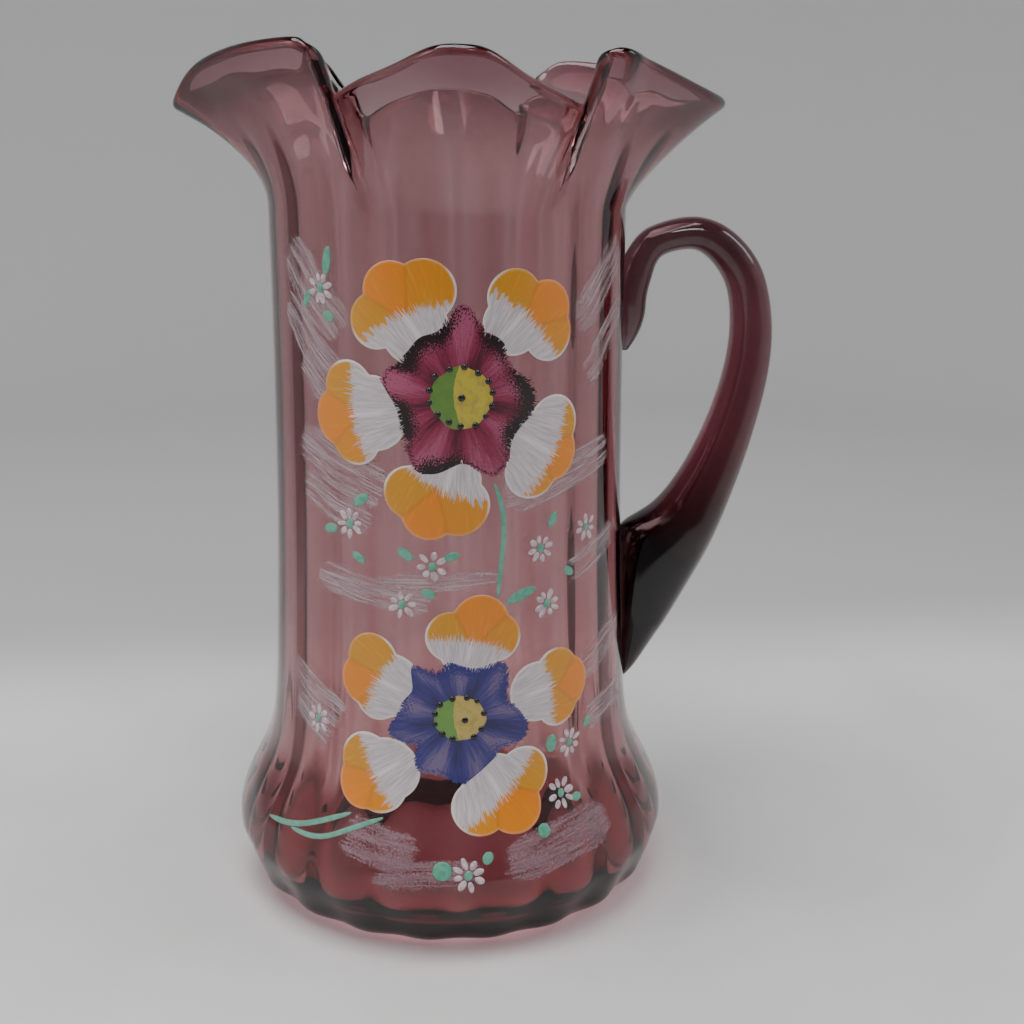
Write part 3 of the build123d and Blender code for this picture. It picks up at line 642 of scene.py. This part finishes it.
# each petal: overlapping discs (arc, height, radius) round the eye, the first
# three carry the orange, then how far out the orange starts and how it leans;
# points: direction, radius and darkness of the corolla's edge
flowers = {
    "upper": {
        "bearing": -1.9, "height": 165.7, "eye": (9.4, 9.6), "eyeShift": (0.5, 0.4),
        "petals": [
            ([(-23, 21, 8), (-18.5, 29.3, 8.4), (-9.5, 29.5, 9), (-11.5, 18, 10)], 6.5, (-0.18, 0)),
            ([(15.5, 27.5, 8), (25, 23.5, 8.4), (26, 17, 8), (14.5, 19.5, 9)], 5.5, (0.05, 0)),
            ([(28, -9, 8.6), (28, -17, 8.4), (21, -21, 8.6), (20, -12.5, 9)], 9.5, (0.05, 0)),
            ([(-13.5, -26.5, 8), (-8.5, -32, 8.2), (-0.5, -30, 9), (-3, -22, 9.5)],
             4.5, (-0.2, -0.1)),
            ([(-32, 1.5, 8.2), (-35.5, -7, 8.4), (-30, -12, 8), (-23.5, -4.5, 11)], 7.5, (0, 0.1)),
        ],
        "points": [(-19, 21.2, 0.9), (14, 20, 0.9), (37, 16.5, 0.45), (52, 20.5, 0.9), (76, 21.5, 0.4),
                   (84, 25.2, 0.3), (102, 21.2, 0.9), (121, 22, 1.0), (150, 19.5, 0.9),
                   (162, 21.8, 0.1), (186, 18.5, 0.9), (218, 19.5, 0.8), (231, 21.5, 0.2),
                   (246, 25, 1.0), (262, 21.2, 1.0), (277, 18.5, 0.4), (293, 23.5, 0.1),
                   (306, 22.5, 0.3), (325, 19.8, 1.0)],
        "dots": [(-6.8, 6.5), (-2.6, 8.5), (1.4, 9.1), (5.2, 7.3), (8.0, 4.9), (9.2, 1.7), (9.0, -2),
                 (7.2, -4.8), (4.4, -7.3), (0.3, -7.4), (-2.9, -6.2), (-5.9, -4.1), (-8.2, -0.8),
                 (-8.2, 2.6), (0.6, 0.5)],
        "material": "crimson", "eyeMaterial": "eyeUpper",
    },
    "lower": {
        "bearing": -2.5, "height": 72.1, "eye": (8.2, 7.4), "eyeShift": (0.3, 0.2),
        "petals": [
            ([(-2, 24.5, 7.8), (6.5, 28.5, 8.6), (11, 24, 7.6), (3, 20, 9)], 3.5, (0, 0)),
            ([(31, 9.5, 8.2), (35, 6, 8.2), (31, 1.5, 8), (23, 5.5, 9.5)], 6.0, (0, 0)),
            ([(18.5, -18, 8), (15, -26.5, 8), (5.5, -26, 8), (9, -19, 9)], 6.5, (0.25, 0)),
            ([(-27, -14.5, 8.6), (-27.5, -20.5, 8.2), (-22.5, -21, 8), (-19.5, -15.5, 9.5)],
             6.5, (-0.1, 0)),
            ([(-26, 16.5, 8), (-28, 10, 8.2), (-23.5, 6, 8), (-19.5, 9, 10)], 5.0, (-0.1, 0)),
        ],
        "points": [(2, 17.8, 0.3), (18, 15.4, 0.7), (33, 17.4, 0.9), (47, 20.4, 0.5), (66, 17.2, 0.8),
                   (84, 16.6, 0.9), (100, 17.4, 0.9), (115, 15.8, 0.8), (132, 20, 0.4),
                   (146, 16.4, 0.3),
                   (166, 18, 0.6), (178, 17.6, 0.5), (194, 20.6, 0.2), (212, 15.6, 0.6),
                   (232, 19, 0.3),
                   (250, 17.4, 0.2), (270, 19, 0.2), (288, 18.4, 0.2), (306, 16.2, 0.5),
                   (322, 15.6, 0.5), (340, 20.4, 0.2)],
        "dots": [(-6.9, 1.6), (-6.9, -1.5), (-4.8, -4.5), (-1.9, -6.0), (-5.5, 4.4), (-1.9, 6.2),
                 (2.3, 6.4), (5.2, 5.3), (7.2, 1.4), (6.4, -3.4), (4.2, -5.6), (1.7, -0.4)],
        "material": "cobalt", "eyeMaterial": "eyeLower",
    },
}


def petalPatch(flower, petal):
    cells, boundary, lean = petal
    cx = sum(c[0] for c in cells) / 4
    cy = sum(c[1] for c in cells) / 4
    tip = math.atan2(cy, cx)
    root = cells[3]

    def reach(turn):
        far = cellReach(cells, cx, cy, turn)
        # the root narrows towards the eye
        inward = -np.cos(turn - tip)
        return far * (1 - 0.10 * np.clip(inward, 0, 1) ** 2)

    def fields(x, y, inset, share, turn):
        distance = np.hypot(x, y)
        out = (x - root[0]) * math.cos(tip) + (y - root[1]) * math.sin(tip)
        across = -(x - root[0]) * math.sin(tip) + (y - root[1]) * math.cos(tip)
        gaps = np.array([np.hypot(x - c[0], y - c[1]) - c[2] for c in cells[:3]])
        order = np.sort(gaps, axis=0)
        near = np.argmin(gaps, axis=0)
        seam = np.clip(1 - np.abs(order[1] - order[0]) / 1.3, 0, 1)
        shift = lean[0] * across + 0.012 * across ** 2
        angle = np.arctan2(y, x)
        angle = np.mod(angle - tip + math.pi, 2 * math.pi) - math.pi
        paint = np.stack([angle * 24, distance], -1)
        vein = np.clip(1 - np.abs(across) / 1.2, 0, 1) * np.clip(out / 4 + 1.2, 0, 1)
        return {
            "paint": paint, "inset": np.broadcast_to(inset, x.shape),
            "orange": out - boundary + shift,
            "cell": np.take([0.15, 0.85, 0.45], near),
            "seam": seam, "vein": vein,
            "rimShare": np.clip(1.3 - np.clip(out - boundary, -1, 6) / 4.5, 0.15, 1),
        }

    return fanPatch(flower, (cx, cy), reach, 150, 34, enamel["petal"], fields)


def corollaPatch(flower):
    bearings = [p[0] for p in flower["points"]]
    sizes = closedCurve(bearings, [p[1] for p in flower["points"]])
    dark = closedCurve(bearings, [p[2] for p in flower["points"]])

    def reach(turn):
        t = np.degrees(turn)
        return sizes(t) + 1.3

    def fields(x, y, inset, share, turn):
        t = np.degrees(turn)
        distance = np.hypot(x, y)
        phase = np.sin(np.radians(t * 9 + 40)) * 0.5 + np.sin(np.radians(t * 5 - 30)) * 0.35
        fold = 0.45 + 0.45 * phase + 0.25 * np.clip((share - 0.45) / 0.3, -1, 1)
        stipple = np.clip(dark(t), 0, 1) * 1.7 * np.clip((share - 0.52) / 0.36, 0, 1) - 0.3
        line = np.clip(1 - np.abs(inset - 1.9) / 0.9, 0, 1) * 0.75
        paint = np.stack([turn * 16, distance], -1)
        wrap = inset * np.where(dark(t) > 0.55, 1.0, 2.2)
        return {"paint": paint, "inset": wrap - 0.5, "fold": fold,
                "stipple": np.maximum(stipple, line)}

    return fanPatch(flower, (0.0, 0.0), reach, 420, 44, enamel["corolla"], fields)


def eyePatch(flower):
    ex, ey = flower["eye"]

    def reach(turn):
        wave = 1 + 0.025 * np.cos(7 * turn + 1) + 0.02 * np.cos(4 * turn)
        return wave / np.sqrt((np.cos(turn) / ex) ** 2 + (np.sin(turn) / ey) ** 2)

    def fields(x, y, inset, share, turn):
        paint = np.stack([x, y], -1)
        side = x + 1.6 - 0.03 * (y - 2) ** 2 + 0.10 * np.maximum(-y, 0)
        return {"paint": paint, "side": side, "inset": np.broadcast_to(inset, x.shape)}

    return fanPatch(flower, flower["eyeShift"], reach, 96, 12, enamel["eye"], fields)


painted = {}
for key, flower in flowers.items():
    painted[key + "Petals"] = joinPatches(
        key + "FlowerPetals", [petalPatch(flower, p) for p in flower["petals"]], materials["petal"])
    painted[key + "Corolla"] = joinPatches(
        key + "FlowerCorolla", [corollaPatch(flower)], materials[flower["material"]])
    painted[key + "Eye"] = joinPatches(
        key + "FlowerEye", [eyePatch(flower)], materials[flower["eyeMaterial"]])
print("flowers painted")


# brush strokes: stems and washes
def strokePatch(path, width, bearing, z, lift, taper=0.5, steps=40, across=10, wobble=0.0, seed=1):
    # path and width in mm round the middle point
    path = np.asarray(path, float)
    knots = np.arange(len(path))
    cx, cy = openCurve(knots, path[:, 0]), openCurve(knots, path[:, 1])
    t = np.linspace(0, len(path) - 1, steps)
    x, y = cx(t), cy(t)
    dx, dy = np.gradient(x), np.gradient(y)
    run = np.hypot(dx, dy)
    nx, ny = -dy / run, dx / run
    length = np.concatenate([[0], np.cumsum(np.hypot(np.diff(x), np.diff(y)))])
    share = length / length[-1]
    half = width / 2 * np.clip(1 - np.abs(2 * share - 1) ** 6 * (1 - taper), 0.05, 1)
    rng = np.random.default_rng(seed)
    rough = wobble * rng.normal(size=(2, steps))
    rows, uv, inset = [], [], []
    sides = np.linspace(-1, 1, across)
    for layer in (0, 1):
        for s in sides:
            edge = half + (rough[0] if s > 0 else rough[1]) * abs(s)
            px, py = x + nx * s * edge, y + ny * s * edge
            height = enamel["under"] if layer else enamel["skin"] + lift * (1 - 0.6 * s ** 4)
            rows.append(onWall(px, py, bearing, z, height))
            uv.append(np.stack([length + seed * 40.0, s * edge + seed * 13.0], -1))
            inside = np.minimum(edge * (1 - abs(s)), np.minimum(length, length[-1] - length) * 0.5)
            inset.append(inside)
    n = steps
    faces = []
    for layer, flip in ((0, False), (1, True)):
        base = layer * across * n
        for a in range(across - 1):
            for b in range(n - 1):
                first = base + a * n + b
                q = (first, first + 1, first + n + 1, first + n)
                faces.append(q if flip else q[::-1])
    low = across * n
    border = [a * n for a in range(across)]
    border += [(across - 1) * n + b for b in range(1, n)]
    border += [a * n + n - 1 for a in range(across - 2, -1, -1)]
    border += [b for b in range(n - 2, 0, -1)]
    for i in range(len(border)):
        a, b = border[i], border[(i + 1) % len(border)]
        faces.append((b, a, a + low, b + low))
    faces = [f[::-1] for f in faces]
    return np.concatenate(rows), faces, {"paint": np.concatenate(uv), "inset": np.concatenate(inset)}


stems = [
    ([(-2, 15.5), (0.6, 6), (0.2, -6), (-1.2, -18)], 1.5, 10.8, 126),
    ([(12, 6), (3, 2.2), (-8, -1.8), (-20, -3.6)], 1.6, -44.5, 35.8),
    ([(17, 5), (7, 0.6), (-3, -3.6), (-14, -4.2)], 1.5, -39.5, 37.0),
]
painted["stems"] = joinPatches(
    "stemLines", [strokePatch(p, w, b, z, enamel["stem"], 0.35, seed=i + 1)
                  for i, (p, w, b, z) in enumerate(stems)],
    materials["stem"])

# start bearing, start height, run, rise, width of each dry-brush wash
washes = [
    (-64, 205, 24, -24, 7), (-66, 190, 26, -24, 6), (-58, 174, 18, -14, 5),
    (-60, 150, 34, -12, 7), (-58, 138, 28, -10, 5), (-52, 112, 40, -6, 5), (-30, 112, 40, 2, 3.4),
    (10, 137, 44, 10, 6), (34, 112, 26, 8, 5), (36, 184, 26, 22, 6), (40, 168, 24, 20, 5),
    (-66, 78, 26, -10, 6), (-64, 68, 20, -8, 4), (36, 80, 30, 10, 5), (40, 64, 26, 4, 5),
]
lowWashes = [(-36, 36.5, 26, -4, 5.5), (-26, 27, 34, 2, 4), (8, 30, 40, 6, 6)]


def washPatches(rows, grow, low):
    made = []
    for i, (start, z, run, rise, width) in enumerate(rows):
        radius = float(outerRadius(z + rise / 2))
        middle = start + math.degrees(run / 2 / radius)
        path = [(-run / 2, -rise / 2), (-run / 4, -rise / 3.2), (0, 0), (run / 4, rise / 4.4),
                (run / 2, rise / 2)]
        patch = strokePatch(path, width * grow, middle, z + rise / 2, enamel["wash"], taper=0.4,
                            steps=60, across=16, wobble=0.35, seed=i + 3)
        patch[2]["low"] = np.full(len(patch[0]), low)
        made.append(patch)
    return made


painted["frost"] = joinPatches(
    "frostWashes", washPatches(washes, 2.2, 0.0) + washPatches(lowWashes, 2.3, 1.0), materials["frost"])
print("washes laid")


# small dabs repeated over the wall
def buildScatterTree(name):
    # puts one flattened bead on every point, sized and turned by its fields
    tree = bpy.data.node_groups.new(name, "GeometryNodeTree")
    for socket, kind in (("Geometry", "Geometry"), ("Bead Rings", "Int"), ("Jitter", "Float"),
                         ("Seed", "Int"), ("Material", "Material")):
        tree.interface.new_socket(socket, in_out="INPUT", socket_type="NodeSocket" + kind)
    tree.interface.new_socket("Geometry", in_out="OUTPUT", socket_type="NodeSocketGeometry")
    start = addNode(tree, "NodeGroupInput")
    points = addNode(tree, "GeometryNodeMeshToPoints", {"Mesh": start.outputs["Geometry"]})
    bead = addNode(tree, "GeometryNodeMeshUVSphere", {
        "Segments": 16, "Radius": 1.0, "Rings": start.outputs["Bead Rings"]})
    size = addNode(tree, "GeometryNodeInputNamedAttribute", {"Name": "beadSize"},
                   data_type="FLOAT_VECTOR")
    turn = addNode(tree, "GeometryNodeInputNamedAttribute", {"Name": "beadTurn"},
                   data_type="FLOAT_VECTOR")
    chance = addNode(tree, "FunctionNodeRandomValue", {
        2: -1.0, 3: 1.0, "Seed": start.outputs["Seed"]}, data_type="FLOAT")
    vary = addNode(tree, "ShaderNodeMath", {
        0: chance.outputs[1], 1: start.outputs["Jitter"], 2: 1.0}, operation="MULTIPLY_ADD")
    grow = addNode(tree, "ShaderNodeVectorMath", {
        0: size.outputs[0], "Scale": vary.outputs[0]}, operation="SCALE")
    spin = addNode(tree, "FunctionNodeEulerToRotation", {0: turn.outputs[0]})
    place = addNode(tree, "GeometryNodeInstanceOnPoints", {
        "Points": points.outputs[0], "Instance": bead.outputs[0],
        "Rotation": spin.outputs[0], "Scale": grow.outputs[0]})
    real = addNode(tree, "GeometryNodeRealizeInstances", {0: place.outputs[0]})
    smooth = addNode(tree, "GeometryNodeSetShadeSmooth", {0: real.outputs[0]})
    paint = addNode(tree, "GeometryNodeSetMaterial", {
        "Geometry": smooth.outputs[0], "Material": start.outputs["Material"]})
    addNode(tree, "NodeGroupOutput", {0: paint.outputs[0]})
    return tree


scatterTree = buildScatterTree("enamelBeads")


def scatterBeads(name, rows, material, seed, jitter=0.06, rings=8):
    # rows: bearing, height, slope on the wall, length, width, thickness
    places, sizes, turns = [], [], []
    for bearing, z, slope, length, width, thick in rows:
        r = float(outerRadius(z))
        lean = math.atan2(float(outerRadius(z + 0.5) - outerRadius(z - 0.5)), 1.0)
        b = math.radians(bearing)
        out = Vector((math.sin(b), -math.cos(b), 0))
        side = Vector((math.cos(b), math.sin(b), 0))
        up = (Vector((0, 0, 1)) * math.cos(lean) + out * math.sin(lean)).normalized()
        normal = side.cross(up)
        a = math.radians(slope)
        xAxis = side * math.cos(a) + up * math.sin(a)
        yAxis = normal.cross(xAxis)
        turn = Matrix((xAxis, yAxis, normal)).transposed().to_euler("XYZ")
        places.append((out.x * (r + 0.03), out.y * (r + 0.03), z))
        sizes.append((length * mm / 2, width * mm / 2, thick * mm))
        turns.append(tuple(turn))
    piece = newPiece(name, places, [])
    pointField(piece, "beadSize", sizes)
    pointField(piece, "beadTurn", turns)
    modifier = piece.modifiers.new("beads", "NODES")
    modifier.node_group = scatterTree
    ids = {s.name: s.identifier for s in scatterTree.interface.items_tree if s.in_out == "INPUT"}
    modifier[ids["Bead Rings"]] = rings
    modifier[ids["Jitter"]] = jitter
    modifier[ids["Seed"]] = seed
    modifier[ids["Material"]] = material
    graph = bpy.context.evaluated_depsgraph_get()
    mesh = bpy.data.meshes.new_from_object(piece.evaluated_get(graph))
    piece.modifiers.clear()
    piece.data = mesh
    if not mesh.materials:
        mesh.materials.append(material)
    print(name, len(mesh.polygons))
    return piece


for key, flower in flowers.items():
    radius = float(outerRadius(flower["height"]))
    rows = []
    for i, (x, y) in enumerate(flower["dots"]):
        size = 2.3 if i == len(flower["dots"]) - 1 else 1.95
        bearing = flower["bearing"] + math.degrees(x / radius)
        rows.append((bearing, flower["height"] + y, 0, size, size * 0.94, 0.85))
    painted[key + "Stamens"] = scatterBeads(key + "FlowerStamens", rows, materials["black"], 11, 0.12)

# bearing, height, radius, petals, first petal's direction
daisies = [
    (-46.9, 194.3, 4.8, 8, 20), (-37.0, 128.3, 4.6, 8, 5), (-10.3, 117.7, 4.6, 7, 30),
    (-19.7, 106.1, 4.2, 7, 0), (24.0, 120.9, 4.6, 8, 12), (43.1, 123.9, 4.4, 7, 40),
    (26.3, 104.0, 4.4, 8, 18), (34.0, 59.3, 4.4, 8, 22), (28.4, 45.5, 4.8, 8, 10),
    (-0.8, 28.0, 4.8, 8, 16), (-50.1, 66.0, 4.6, 8, 0)]
petalRows, centreRows = [], []
for bearing, z, radius, count, first in daisies:
    r = float(outerRadius(z))
    for k in range(count):
        slope = first + 360 * k / count + random.uniform(-7, 7)
        reach = radius * random.uniform(0.58, 0.74)
        a = math.radians(slope)
        petalRows.append((bearing + math.degrees(reach * math.cos(a) / r), z + reach * math.sin(a),
                          slope, radius * random.uniform(0.55, 0.78),
                          radius * random.uniform(0.33, 0.44), 0.22))
    centreRows.append((bearing, z, 70, radius * 0.62, radius * 0.5, 0.34))
painted["daisyPetals"] = scatterBeads("daisyPetals", petalRows, materials["daisy"], 21, 0.1, 6)
painted["daisyCentres"] = scatterBeads("daisyCentres", centreRows, materials["mint"], 22, 0.1, 8)

# bearing, height, slope, length, width of each mint dab
dabs = [
    (-33.1, 135.6, 35, 6, 2.6), (-44.5, 125.7, 10, 5, 2.4), (-34.0, 118.6, -30, 5, 2.2),
    (-18.5, 121.0, -35, 5, 2.2), (-4.5, 120.6, 20, 5, 2.2), (-11.6, 109.7, -20, 4.5, 2.2),
    (28.5, 128.8, 60, 5, 2.4), (17.2, 107.9, 20, 10, 2.8), (34.9, 112.3, -35, 4.5, 2.2),
    (27.0, 60.6, 80, 5.5, 3.2), (42.3, 63.4, 40, 4.5, 2.2), (33.3, 43.2, 0, 4, 2.4),
    (-7.3, 29.4, 0, 5.6, 4.6), (4.3, 32.4, 60, 4, 2.6), (-44.0, 202.0, 80, 8, 2.4),
    (-53.1, 191.0, 60, 6, 2.2), (-43.9, 186.8, -30, 4.5, 2.2), (20.6, 37.1, 0, 4, 3.6)]
painted["dabs"] = scatterBeads("leafDabs", [(b, z, s, l, w * 1.2, 0.24) for b, z, s, l, w in dabs],
                               materials["mint"], 23, 0.08, 8)
print("dabs laid")

links = [
    (pitcherBody, "glass_body", "body_glass"), (pitcherHandle, "glass_handle", "handle_glass"),
    (painted["upperPetals"], "upper_flower_petals", "petal_enamel"),
    (painted["upperCorolla"], "upper_flower_corolla", "crimson_enamel"),
    (painted["upperEye"], "upper_flower_eye", "eye_enamel"),
    (painted["upperStamens"], "upper_flower_stamens", "black_enamel"),
    (painted["lowerPetals"], "lower_flower_petals", "petal_enamel"),
    (painted["lowerCorolla"], "lower_flower_corolla", "cobalt_enamel"),
    (painted["lowerEye"], "lower_flower_eye", "eye_enamel"),
    (painted["lowerStamens"], "lower_flower_stamens", "black_enamel"),
    (painted["stems"], "stems", "stem_enamel"), (painted["dabs"], "leaf_dabs", "mint_enamel"),
    (painted["daisyPetals"], "daisy_petals", "daisy_enamel"),
    (painted["daisyCentres"], "daisy_centres", "mint_enamel"),
    (painted["frost"], "frost_strokes", "frost_enamel"),
]
for piece, node, slotName in links:
    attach(piece, "root")
    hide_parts(node)
print("pieces placed")


studio = {
    "flat": 700.0, "bend": 300.0, "wall": 1300.0, "columns": 72,
    # the cloth tone is partly painted shade, the room tone is painted shade, the glow is painted light
    "table": ("#D2D2D1", "#D9D9D9"), "clothAndShade": "#B2B2B3", "roomShade": "#6C6C6F",
    "paintedGlow": "#E0A8B0", "air": "#8A8D92", "airStrength": 0.16,
}


def sweepMaterial():
    # pale paper with a faint grain, darker behind by a cloth that is partly painted shade and far in front
    # by painted shade; under and round the foot, painted light: a glow for the light the glass gathers
    material, tree = emptyMaterial("studioSweep")
    where = addNode(tree, "ShaderNodeTexCoord").outputs["Object"]
    noise = addNode(tree, "ShaderNodeTexNoise", {
        "Vector": where, "Scale": 14.0, "Detail": 6.0}).outputs["Fac"]
    colour = mixColour(tree, rangeNode(tree, noise, 0.3, 0.7),
                       linearColour(studio["table"][0]), linearColour(studio["table"][1]))
    depth = addNode(tree, "ShaderNodeSeparateXYZ", {"Vector": where}).outputs["Y"]
    # behind the pitcher the paper turns grey: a darker cloth, partly painted shade where less light falls
    # on the backdrop
    colour = mixColour(tree, rangeNode(tree, depth, 0.13, 0.24), colour, linearColour(studio["clothAndShade"]))
    # painted shade: the paper turns dark far in front, where the room lies unlit
    colour = mixColour(tree, rangeNode(tree, depth, -0.5, -0.8), colour, linearColour(studio["roomShade"]))
    flat = addNode(tree, "ShaderNodeVectorMath", {0: where, 1: (1, 1, 0)}, operation="MULTIPLY").outputs[0]
    away = addNode(tree, "ShaderNodeVectorMath", {0: flat}, operation="LENGTH").outputs["Value"]
    # painted light: the paper glows under the foot and in a ring round it
    paintedGlow = mathNode(tree, "MULTIPLY", rangeNode(tree, away, 0.088, 0.045), 0.28)
    ring = mathNode(tree, "SUBTRACT", rangeNode(tree, away, 0.060, 0.052),
                    rangeNode(tree, away, 0.047, 0.038))
    paintedGlow = mathNode(tree, "MULTIPLY_ADD", ring, 0.5, paintedGlow)
    shader = addNode(tree, "ShaderNodeBsdfPrincipled", {
        "Roughness": 0.8, "Emission Color": linearColour(studio["paintedGlow"]), "Emission Strength": paintedGlow})
    tree.links.new(colour, shader.inputs["Base Color"])
    out = addNode(tree, "ShaderNodeOutputMaterial")
    tree.links.new(shader.outputs[0], out.inputs["Surface"])
    return material


def buildSweep():
    # a table that curves up all round, so every side has a plain backdrop
    profile = [(r, 0.0) for r in (20, 120, 260, 420, 560, studio["flat"])]
    for k in range(1, 13):
        a = math.radians(90 * k / 12)
        profile.append((studio["flat"] + studio["bend"] * math.sin(a),
                        studio["bend"] * (1 - math.cos(a))))
    profile.append((studio["flat"] + studio["bend"], studio["wall"]))
    turn = np.linspace(0, 2 * math.pi, studio["columns"], endpoint=False)
    verts = np.concatenate([
        np.stack([r * np.cos(turn), r * np.sin(turn), np.full_like(turn, z)], -1) for r, z in profile])
    faces = ringFaces(len(profile), studio["columns"])
    faces = [f[::-1] for f in faces] + [tuple(range(studio["columns"]))]
    sweep = newPiece("studioSweep", verts, faces)
    sweep.data.materials.append(sweepMaterial())
    return sweep


sweep = buildSweep()


def addLamp(name, place, aim, size, power):
    lamp = bpy.data.lights.new(name, "AREA")
    lamp.shape = "RECTANGLE"
    lamp.size, lamp.size_y = size
    lamp.energy = power
    holder = bpy.data.objects.new(name, lamp)
    bpy.context.scene.collection.objects.link(holder)
    holder.location = place
    holder.rotation_euler = (Vector(aim) - Vector(place)).to_track_quat("-Z", "Y").to_euler()


# place, aim and size in metres, power in watts
lamps = {
    "topLamp": ((-0.15, -0.1, 1.1), (0, 0.1, 0), (0.9, 0.7), 12.3),
    "frontLamp": ((0.25, -0.9, 0.95), (0, 0, 0.15), (0.35, 0.25), 2.4),
    "leftLamp": ((-0.9, -0.25, 0.6), (0, 0.1, 0.15), (0.3, 0.6), 2.0),
    "rightLamp": ((0.9, 0.0, 0.7), (0, 0.1, 0.15), (0.3, 0.6), 2.0),
}
for name, values in lamps.items():
    addLamp(name, *values)
world = bpy.data.worlds.new("studioWorld")
bpy.context.scene.world = world
world.use_nodes = True
background = world.node_tree.nodes["Background"]
background.inputs["Color"].default_value = linearColour(studio["air"])
background.inputs["Strength"].default_value = studio["airStrength"]

# metres, millimetres of lens and sensor, degrees
view = {
    "sensor": 36.0, "lens": 56.1, "azimuth": -5.0, "away": 0.481, "height": 0.2587,
    "pan": 2.335, "tilt": 16.28, "roll": 0.344,
}
cameraData = bpy.data.cameras.new("studioCamera")
cameraData.sensor_width = view["sensor"]
cameraData.lens = view["lens"]
camera = bpy.data.objects.new("studioCamera", cameraData)
bpy.context.scene.collection.objects.link(camera)
bpy.context.scene.camera = camera
azimuth = math.radians(view["azimuth"])
camera.location = (view["away"] * math.sin(azimuth), -view["away"] * math.cos(azimuth),
                   view["height"])
camera.rotation_euler = (
    Matrix.Rotation(azimuth - math.radians(view["pan"]), 4, "Z")
    @ Matrix.Rotation(math.radians(90 - view["tilt"]), 4, "X")
    @ Matrix.Rotation(math.radians(view["roll"]), 4, "Z")).to_euler()
print("studio ready")
